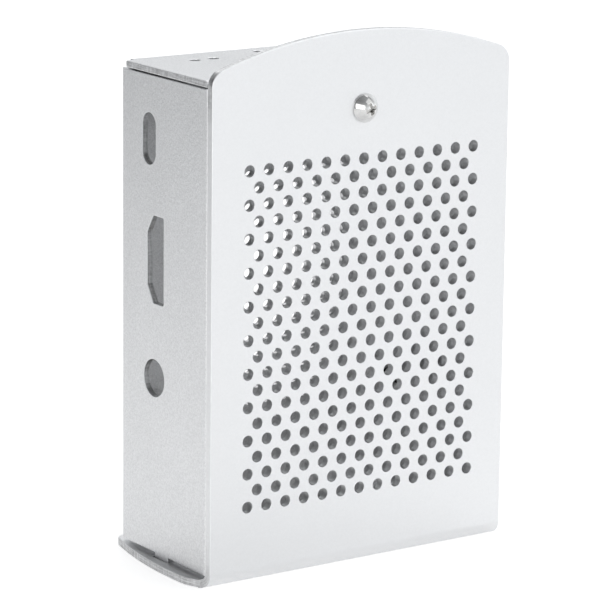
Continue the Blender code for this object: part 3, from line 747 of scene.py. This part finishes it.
        # how far a point of the walls or of the flange lies behind their front edge
        across, up = abs(spot.x), spot.y
        if up < high + tiny and across > panelHalf + sizes["wallStart"]:
            return max(frontX - across, 0)
        if across > lipHalf + sizes["lipRelief"] - tiny and shoulder < up < flangeEdge + tiny:
            return max(flangeEdge - up, 0)
        return case["depth"]

    ventLow, ventHigh = sizes["ventHeights"]

    def inVents(spot):
        return abs(spot.x - sizes["ventMiddle"]) < sizes["ventHalf"] and ventLow < spot.y < ventHigh

    def onPlainRim(spot):
        return not inVents(spot) and gapToFront(spot) > tiny

    roundRim(bm, rank, rimEdges(bm, rank, 0, inVents), sizes["ventRounding"], 1)
    for level in (0, thick):
        roundRim(bm, rank, rimEdges(bm, rank, level, onPlainRim), sizes["edgeRounding"], 2)
    for vert in bm.verts:
        gap = gapToFront(vert.co)
        if gap < soft and vert.co.z < thick / 2:
            vert.co.z = max(vert.co.z, soft - math.sqrt(max(soft ** 2 - (soft - gap) ** 2, 0)))

    def fold(spot):
        across, height, depth = spot
        rise = depth
        slack = tiny / 10
        if height > panelTop and (abs(across) < panelHalf + slack or height > high + slack):
            along = height - panelTop
            start = lipStart - panelTop
            if abs(across) < lipHalf + slack and along > start:
                moved, depth = bendPoint(along - start, depth, radius, bendLength)
                along = start + moved
            moved, rise = bendPoint(along, depth, radius, bendLength)
            height = panelTop + moved
        elif abs(across) > panelHalf:
            side = math.copysign(1, across)
            moved, rise = bendPoint(abs(across) - panelHalf, depth, radius, bendLength)
            across = side * (panelHalf + moved)
        return Vector((across, case["depth"] - rise - case["depthCentre"], height))

    foldAll(bm, fold)
    tray = settle("traySheet", bm, rank, [trayFace, trayCut])
    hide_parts("base_tray")


makeTray()
print("tray folded")


# turned pieces
def turned(profile, steps, closed=False):
    # spins a profile of (radius, height) round z
    bm = bmesh.new()
    verts = [bm.verts.new((radius, 0, height)) for radius, height in profile]
    pairs = list(zip(verts, verts[1:] + verts[:1] if closed else verts[1:]))
    edges = [bm.edges.new(pair) for pair in pairs]
    bmesh.ops.spin(bm, geom=verts + edges, cent=(0, 0, 0), axis=(0, 0, 1), angle=2 * math.pi,
                   steps=steps, use_merge=True)
    bmesh.ops.remove_doubles(bm, verts=bm.verts[:], dist=0.0005 * mm)
    bmesh.ops.recalc_face_normals(bm, faces=bm.faces[:])
    return bm


def toMesh(name, bm, sharp=35):
    mesh = bpy.data.meshes.new(name)
    bm.to_mesh(mesh)
    bm.free()
    mesh.shade_smooth()
    mesh.set_sharp_from_angle(angle=math.radians(sharp))
    return mesh


def putAt(mesh, across, depth, height, facing, spin=0.0):
    # carries a turned mesh to its place, with its z along facing
    turn = Vector(facing).to_track_quat("Z", "Y").to_matrix().to_4x4()
    place = Matrix.Translation((across, depth - case["depthCentre"], height))
    mesh.transform(place @ turn @ Matrix.Rotation(spin, 4, "Z"))


frontwards = (0, -1, 0)
backwards = (0, 1, 0)


def tagOf(words):
    # the last part of a piece's name, from the last words of its node's name
    return "".join(word.capitalize() for word in words.split("_"))


# the screws, in millimetres; steps are the facets of one turn
smallScrew = {"shape": "pan", "head": 4.7, "headHeight": 1.6, "core": 2.2, "thread": 2.45, "pitch": 0.45,
              "slotReach": 1.35, "slotWidth": 0.72, "slotDepth": 1.0, "steps": 40}
screwKinds = {
    "cover": {"shape": "low", "head": 5.2, "headHeight": 1.9, "core": 2.6, "thread": 2.96, "pitch": 0.5,
              "length": 6.0, "slotReach": 1.5, "slotWidth": 0.84, "slotDepth": 1.35, "steps": 72},
    "back": {**smallScrew, "length": 3.0},
    "board": {**smallScrew, "length": 4.0},
}
screwShape = {
    "lowFall": 2.15,              # how late the low head's crown falls to its rim
    "rimShare": 0.45,             # the pan head's rim, as a share of its height
    "domeShare": 0.97,            # the pan head's dome, as a share of its radius
    "threadStart": 0.35,
    "threadEnd": 0.5,             # from the tip, where the last ring may start
    "point": 0.3,
    "edgeSoft": 0.04,
    "ringShares": (0.42, 0.52, 0.92),   # of the pitch: where a ring's crest starts and ends, and its foot
    "turns": {"cover": 20, "back": 15, "board": 40},   # of the recess, in degrees
}
crossTip = {"above": 0.6, "endReach": 0.42, "endWidth": 0.72,
            "coneWidth": 1.05, "coneDepth": 1.25, "point": 0.02}


def crossCutter(kind):
    # the shape of a cross driver's tip: two tapered blades and a point
    tip = crossTip
    bm = bmesh.new()
    top = kind["headHeight"] * mm
    depth = kind["slotDepth"] * mm
    above = tip["above"] * mm
    blade = (2 * kind["slotReach"] * mm, kind["slotWidth"] * mm, depth + above)
    for turn in (0, math.pi / 2):
        verts = bmesh.ops.create_cube(bm, size=1.0)["verts"]
        bmesh.ops.scale(bm, verts=verts, vec=blade)
        bmesh.ops.translate(bm, verts=verts, vec=(0, 0, top + above - blade[2] / 2))
        for vert in verts:
            if vert.co.z < top - depth / 2:
                vert.co.x *= tip["endReach"]
                vert.co.y *= tip["endWidth"]
        bmesh.ops.rotate(bm, verts=verts, cent=(0, 0, 0), matrix=Matrix.Rotation(turn, 3, "Z"))
    length = depth * tip["coneDepth"] + above
    cone = bmesh.ops.create_cone(bm, cap_ends=True, segments=24, radius1=tip["point"] * mm,
                                 radius2=kind["slotWidth"] * tip["coneWidth"] * mm, depth=length)
    bmesh.ops.translate(bm, verts=cone["verts"], vec=(0, 0, top + above - length / 2))
    return bm


def panHead(head, height, core):
    # a dome on a soft rim, with a flat seat at z = 0
    rim = height * screwShape["rimShare"]
    edge = head * screwShape["domeShare"]
    sphere = edge ** 2 / (2 * (height - rim)) + (height - rim) / 2
    full = math.asin(edge / sphere)
    turns = [full * i / 10 for i in range(11)]
    profile = [(sphere * math.sin(turn), height - sphere + sphere * math.cos(turn)) for turn in turns]
    return profile + [(head * 0.992, rim * 0.9), (head, rim * 0.72), (head, rim * 0.3),
                      (head - rim * 0.12, rim * 0.12), (head - rim * 0.3, 0), (core, 0)]


def lowHead(head, height, core):
    # a low round crown that falls to the plate and sits on it
    steps = 16
    fall = height + 0.08 * mm
    profile = [(head * i / steps, height - fall * (i / steps) ** screwShape["lowFall"])
               for i in range(steps + 1)]
    seat = -0.25 * mm
    return profile + [(head - 0.02 * mm, -0.16 * mm), (head - 0.12 * mm, seat), (core, seat)]


def screwProfile(kind):
    # the head, the rings that stand for the thread, and the point
    core, crest = kind["core"] / 2 * mm, kind["thread"] / 2 * mm
    length, pitch = kind["length"] * mm, kind["pitch"] * mm
    headShape = lowHead if kind["shape"] == "low" else panHead
    profile = headShape(kind["head"] / 2 * mm, kind["headHeight"] * mm, core)
    crestStart, crestEnd, foot = [share * pitch for share in screwShape["ringShares"]]
    ring = -screwShape["threadStart"] * mm
    while ring > screwShape["threadEnd"] * mm - length:
        profile += [(core, ring), (crest, ring - crestStart), (crest, ring - crestEnd), (core, ring - foot)]
        ring -= pitch
    return profile + [(core, screwShape["point"] * mm - length), (core * 0.75, -length), (0, -length)]


def screwMesh(name, kind):
    # the turned blank, with the recess cut into its head
    blank = toMesh(name + "Blank", turned(screwProfile(kind), kind["steps"]))
    body = bpy.data.objects.new(name + "Blank", blank)
    cutter = bpy.data.objects.new(name + "Tip", toMesh(name + "Tip", crossCutter(kind)))
    for obj in (body, cutter):
        bpy.context.collection.objects.link(obj)
    cut = body.modifiers.new("recess", "BOOLEAN")
    cut.operation = "DIFFERENCE"
    cut.solver = "EXACT"
    cut.use_self = True
    cut.object = cutter
    soft = body.modifiers.new("soft", "BEVEL")
    soft.width = screwShape["edgeSoft"] * mm
    soft.segments = 2
    soft.limit_method = "ANGLE"
    soft.angle_limit = math.radians(40)
    mesh = bpy.data.meshes.new_from_object(body.evaluated_get(bpy.context.evaluated_depsgraph_get()))
    for obj in (body, cutter):
        bpy.data.objects.remove(obj)
    bm = bmesh.new()
    bm.from_mesh(mesh)
    triangles(bm, 0.005 * mm)
    bm.to_mesh(mesh)
    bm.free()
    mesh.shade_smooth()
    mesh.set_sharp_from_angle(angle=math.radians(38))
    return mesh


def piece(name, mesh, material, node):
    obj = finished(name, mesh, [material])
    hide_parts(node)


def makeCoverScrew():
    mesh = screwMesh("coverScrew", screwKinds["cover"])
    turn = math.radians(screwShape["turns"]["cover"])
    putAt(mesh, 0, -case["seatGap"], case["screwHeight"], frontwards, turn)
    piece("coverScrewBright", mesh, nickel, "cover_screw")


makeCoverScrew()

nutParts = {
    "outer": 3.15 * mm,
    "bore": 1.6 * mm,
    "height": 1.5 * mm,
    "seat": 3.3 * mm,
    "boreChamfer": 0.15 * mm,
    "corner": 0.3 * mm,
    "seatSoft": (0.06 * mm, 0.1 * mm),
    "backSoft": 0.08 * mm,
    "steps": 40,
}


def makeNut():
    sizes = nutParts
    outer, bore, height = sizes["outer"], sizes["bore"], sizes["height"]
    chamfer, soft, rounding = sizes["boreChamfer"], sizes["backSoft"], sizes["corner"]
    inward, upward = sizes["seatSoft"]
    profile = [(bore, chamfer), (bore + chamfer, 0), (outer - rounding, 0), (outer - inward, upward),
               (outer, rounding), (outer, height - rounding), (outer - soft, height - soft),
               (outer - rounding, height), (bore + chamfer, height), (bore, height - chamfer)]
    mesh = toMesh("coverNutRing", turned(profile, sizes["steps"], closed=True))
    putAt(mesh, 0, sizes["seat"], case["screwHeight"], backwards)
    piece("coverNutRing", mesh, nickel, "cover_nut")


makeNut()
print("cover screw and nut made")

standoffParts = {
    "height": 6.0 * mm,
    "acrossFlats": 5.0 * mm,
    "boreRadius": 1.4 * mm,
    "panelInside": 29.6 * mm,     # depths of the panel's inner face and of the standoff's seat
    "seat": 23.6 * mm,
    "chamfer": 0.55,              # how steeply the hexagon's corners are turned off
    "cuts": 7,
    "sharp": 28,
}


def standoffMesh(name):
    # a hexagon bar with both ends turned to a chamfer and a bore
    sizes = standoffParts
    low, high = case["seatGap"], sizes["height"]
    flatHalf = sizes["acrossFlats"] / 2
    turn = Matrix.Rotation(math.pi / 6, 4, "Z")
    cornerHalf = flatHalf / math.cos(math.pi / 6)
    bm = bmesh.new()
    bmesh.ops.create_circle(bm, cap_ends=False, segments=6, radius=cornerHalf, matrix=turn)
    bmesh.ops.subdivide_edges(bm, edges=bm.edges[:], cuts=sizes["cuts"])
    outer = bm.edges[:]
    made = bmesh.ops.create_circle(bm, cap_ends=False, segments=6 * (sizes["cuts"] + 1),
                                   radius=sizes["boreRadius"], matrix=turn)
    inner = list(dict.fromkeys(edge for vert in made["verts"] for edge in vert.link_edges))
    lower = bmesh.ops.bridge_loops(bm, edges=outer + inner)["faces"]
    made = bmesh.ops.extrude_face_region(bm, geom=lower)
    moved = [item for item in made["geom"] if isinstance(item, bmesh.types.BMVert)]
    bmesh.ops.translate(bm, verts=moved, vec=(0, 0, high - low))
    bmesh.ops.translate(bm, verts=bm.verts[:], vec=(0, 0, low))
    for vert in bm.verts:                         # the chamfer only touches the hexagon's corners
        past = vert.co.xy.length - flatHalf
        if past > 0:
            inward = 1 if vert.co.z < (low + high) / 2 else -1
            vert.co.z += inward * past * sizes["chamfer"]
    bmesh.ops.recalc_face_normals(bm, faces=bm.faces[:])
    return toMesh(name, bm, sizes["sharp"])


def makeMount(where, across, up):
    # one standoff with the screw behind it and the board's screw on it
    tag = tagOf(where)
    sizes, gap, turns = standoffParts, case["seatGap"], screwShape["turns"]
    mesh = standoffMesh("standoff" + tag)
    putAt(mesh, across * mm, sizes["panelInside"], up * mm, frontwards)
    piece("standoff" + tag, mesh, nickel, "standoff_" + where)
    mesh = screwMesh("backScrew" + tag, screwKinds["back"])
    putAt(mesh, across * mm, case["depth"] + gap, up * mm, backwards, math.radians(turns["back"] + across))
    piece("backScrew" + tag, mesh, nickel, "standoff_screw_" + where)
    mesh = screwMesh("boardScrew" + tag, screwKinds["board"])
    putAt(mesh, across * mm, sizes["seat"] - gap, up * mm, frontwards, math.radians(turns["board"] + across))
    piece("boardScrew" + tag, mesh, nickel, "board_screw_" + where)


for where, (across, up) in case["mountSpots"].items():
    makeMount(where, across, up)
print("standoffs and small screws made")

footParts = {
    "radius": 4.0 * mm,
    "high": 2.5 * mm,
    "rounding": 0.5 * mm,
    "dish": 0.12 * mm,
    "lowChamfer": 0.12 * mm,
    "steps": 48,
}


def makeFoot(node):
    # a round foot with a soft edge and a slightly hollow face
    sizes = footParts
    radius, top, soft, dish = sizes["radius"], sizes["high"], sizes["rounding"], sizes["dish"]
    low, chamfer = case["seatGap"], sizes["lowChamfer"]
    profile = [(0, top - dish), (radius * 0.4, top - dish * 0.9), (radius * 0.62, top - dish * 0.5),
               (radius * 0.74, top - tiny), (radius * 0.8, top), (radius - soft, top)]
    turns = [math.pi / 2 * i / 5 for i in range(1, 6)]
    profile += [(radius - soft + soft * math.sin(turn), top - soft + soft * math.cos(turn)) for turn in turns]
    profile += [(radius, low + chamfer), (radius - chamfer, low), (0, low)]
    name = "foot" + tagOf(node.removeprefix("foot_"))
    mesh = toMesh(name, turned(profile, sizes["steps"]))
    first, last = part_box(node)
    putAt(mesh, (first.x + last.x) / 2, case["depth"], (first.z + last.z) / 2, backwards)
    piece(name, mesh, rubber, node)


for node in sorted(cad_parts):
    if node.startswith("foot_"):
        makeFoot(node)
print("feet made")

# stage, light and camera
stageLook = {
    "floorSize": 6.0,
    "floorColour": (0.86, 0.86, 0.86, 1),
    "footColour": (0.72, 0.72, 0.72, 1),    # painted shadow: the floor is darker close to the case
    "footReach": (0.03, 0.06),
    "seenGlow": 0.62,                       # what the camera sees besides the lit floor
    "mirrorGlow": 0.33,                     # what the metal sees, in the middle of a pale sweep
    "sweepMiddle": (0.25, -0.35, 0.0),
    "sweepReach": (0.5, 1.05),
    "roomColour": (0.955, 0.978, 1.0, 1),
    "brightSide": (0.75, -0.66, 0.0),
    "roomBright": 1.3,
    "roomDark": 0.2,
    "ceilingStart": (0.1, 0.8),
    "ceilingShare": 0.4,
}


def makeFloor():
    # a matt pale floor, painted darker close to the case as a shadow; its own glow is seen by the camera and
    # by the metal, and lights nothing
    look = stageLook
    bm = bmesh.new()
    bmesh.ops.create_grid(bm, x_segments=1, y_segments=1, size=look["floorSize"] / 2)
    floor = bpy.data.objects.new("floor", toMesh("floor", bm))
    bpy.context.collection.objects.link(floor)
    finish = Finish("paleFloor")
    seen = finish.node("ShaderNodeLightPath", out="Is Camera Ray")
    mirrored = finish.node("ShaderNodeLightPath", out="Is Glossy Ray")
    where = finish.node("ShaderNodeTexCoord", out="Object")
    apart = finish.node("ShaderNodeVectorMath", {"operation": "DISTANCE"},
                        {0: where, 1: look["sweepMiddle"]}, out="Value")
    near = finish.node("ShaderNodeVectorMath", {"operation": "LENGTH"}, {0: where}, out="Value")
    paleSweep = finish.ramp(apart, *look["sweepReach"], look["mirrorGlow"], 0.0)
    # painted shadow: the floor's colour darkens close to the case
    base = finish.blend(finish.ramp(near, *look["footReach"]), look["footColour"], look["floorColour"])
    finish.set(BaseColor=base, Roughness=0.9, SpecularIORLevel=0.1, EmissionStrength=1.0,
               EmissionColor=seen * look["seenGlow"] + mirrored * paleSweep)
    floor.data.materials.append(finish.material)


def makeRoom():
    # a room that is brighter to the front right and darker overhead; the camera sees plain white
    look = stageLook
    world = bpy.data.worlds.new("softRoom")
    world.use_nodes = True
    bpy.context.scene.world = world
    room = Finish("softRoom", world.node_tree)
    seen = room.node("ShaderNodeLightPath", out="Is Camera Ray")
    toward = room.node("ShaderNodeTexCoord", out="Generated")
    height = room.node("ShaderNodeSeparateXYZ", {}, {"Vector": toward}, out="Z")
    side = room.node("ShaderNodeVectorMath", {"operation": "DOT_PRODUCT"},
                     {0: toward, 1: look["brightSide"]}, out="Value")
    glow = room.ramp(side, -1.0, 1.0, look["roomDark"], look["roomBright"])
    glow = glow * room.ramp(height, *look["ceilingStart"], 1.0, look["ceilingShare"])
    back = world.node_tree.nodes["Background"]
    room.feed(back.inputs["Color"], room.blend(seen, look["roomColour"], (1, 1, 1, 1)))
    room.feed(back.inputs["Strength"], seen + (1 - seen) * glow)


makeFloor()
makeRoom()

# soft boxes, in metres and watts, that all face the middle of the case
lamps = {
    "frontBox": {"at": (0.5, -0.8, 0.9), "size": (1.2, 1.2), "power": 2.2},
    "leftBox": {"at": (-0.85, -0.6, 0.3), "size": (0.8, 0.7), "power": 2.5},
    "backBox": {"at": (0.4, 0.7, 1.1), "size": (1.4, 1.4), "power": 5.6},
}
lampAim = Vector((0, 0, 0.045))


def makeLamp(name, lampSet):
    data = bpy.data.lights.new(name, "AREA")
    data.shape = "RECTANGLE"
    data.size, data.size_y = lampSet["size"]
    data.energy = lampSet["power"]
    lamp = bpy.data.objects.new(name, data)
    bpy.context.collection.objects.link(lamp)
    lamp.location = lampSet["at"]
    lamp.rotation_euler = (lampAim - lamp.location).to_track_quat("-Z", "Y").to_euler()


for name, lampSet in lamps.items():
    makeLamp(name, lampSet)

# the camera, recovered from the hole grid, the edges and the openings
view = {
    "focal": 3358.5,                # in pixels of a frame of 600
    "yaw": 34.920,
    "pitch": 12.087,
    "roll": 0.751,
    "at": (-335.48, -488.72, 181.60),
    "centre": (339.1, 250.6),
    "frame": 600,
    "sensor": 36,
    "clip": (0.01, 50),
}


def makeCamera():
    yaw, pitch, roll = (math.radians(view[key]) for key in ("yaw", "pitch", "roll"))
    forward = Vector((math.sin(yaw) * math.cos(pitch), math.cos(yaw) * math.cos(pitch), -math.sin(pitch)))
    side = Vector((math.cos(yaw), -math.sin(yaw), 0))
    up = side.cross(forward)
    right = math.cos(roll) * side + math.sin(roll) * up
    over = -math.sin(roll) * side + math.cos(roll) * up
    data = bpy.data.cameras.new("camera")
    data.sensor_width = view["sensor"]
    data.lens = view["focal"] * view["sensor"] / view["frame"]
    data.shift_x = (view["frame"] / 2 - view["centre"][0]) / view["frame"]
    data.shift_y = (view["centre"][1] - view["frame"] / 2) / view["frame"]
    data.clip_start, data.clip_end = view["clip"]
    camera = bpy.data.objects.new("camera", data)
    bpy.context.collection.objects.link(camera)
    turn = Matrix((right, over, -forward)).transposed().to_4x4()
    camera.matrix_world = Matrix.Translation(Vector(view["at"]) * mm) @ turn
    bpy.context.scene.camera = camera


makeCamera()
bpy.context.scene.view_settings.view_transform = "Standard"
print("stage, lamps and camera ready")
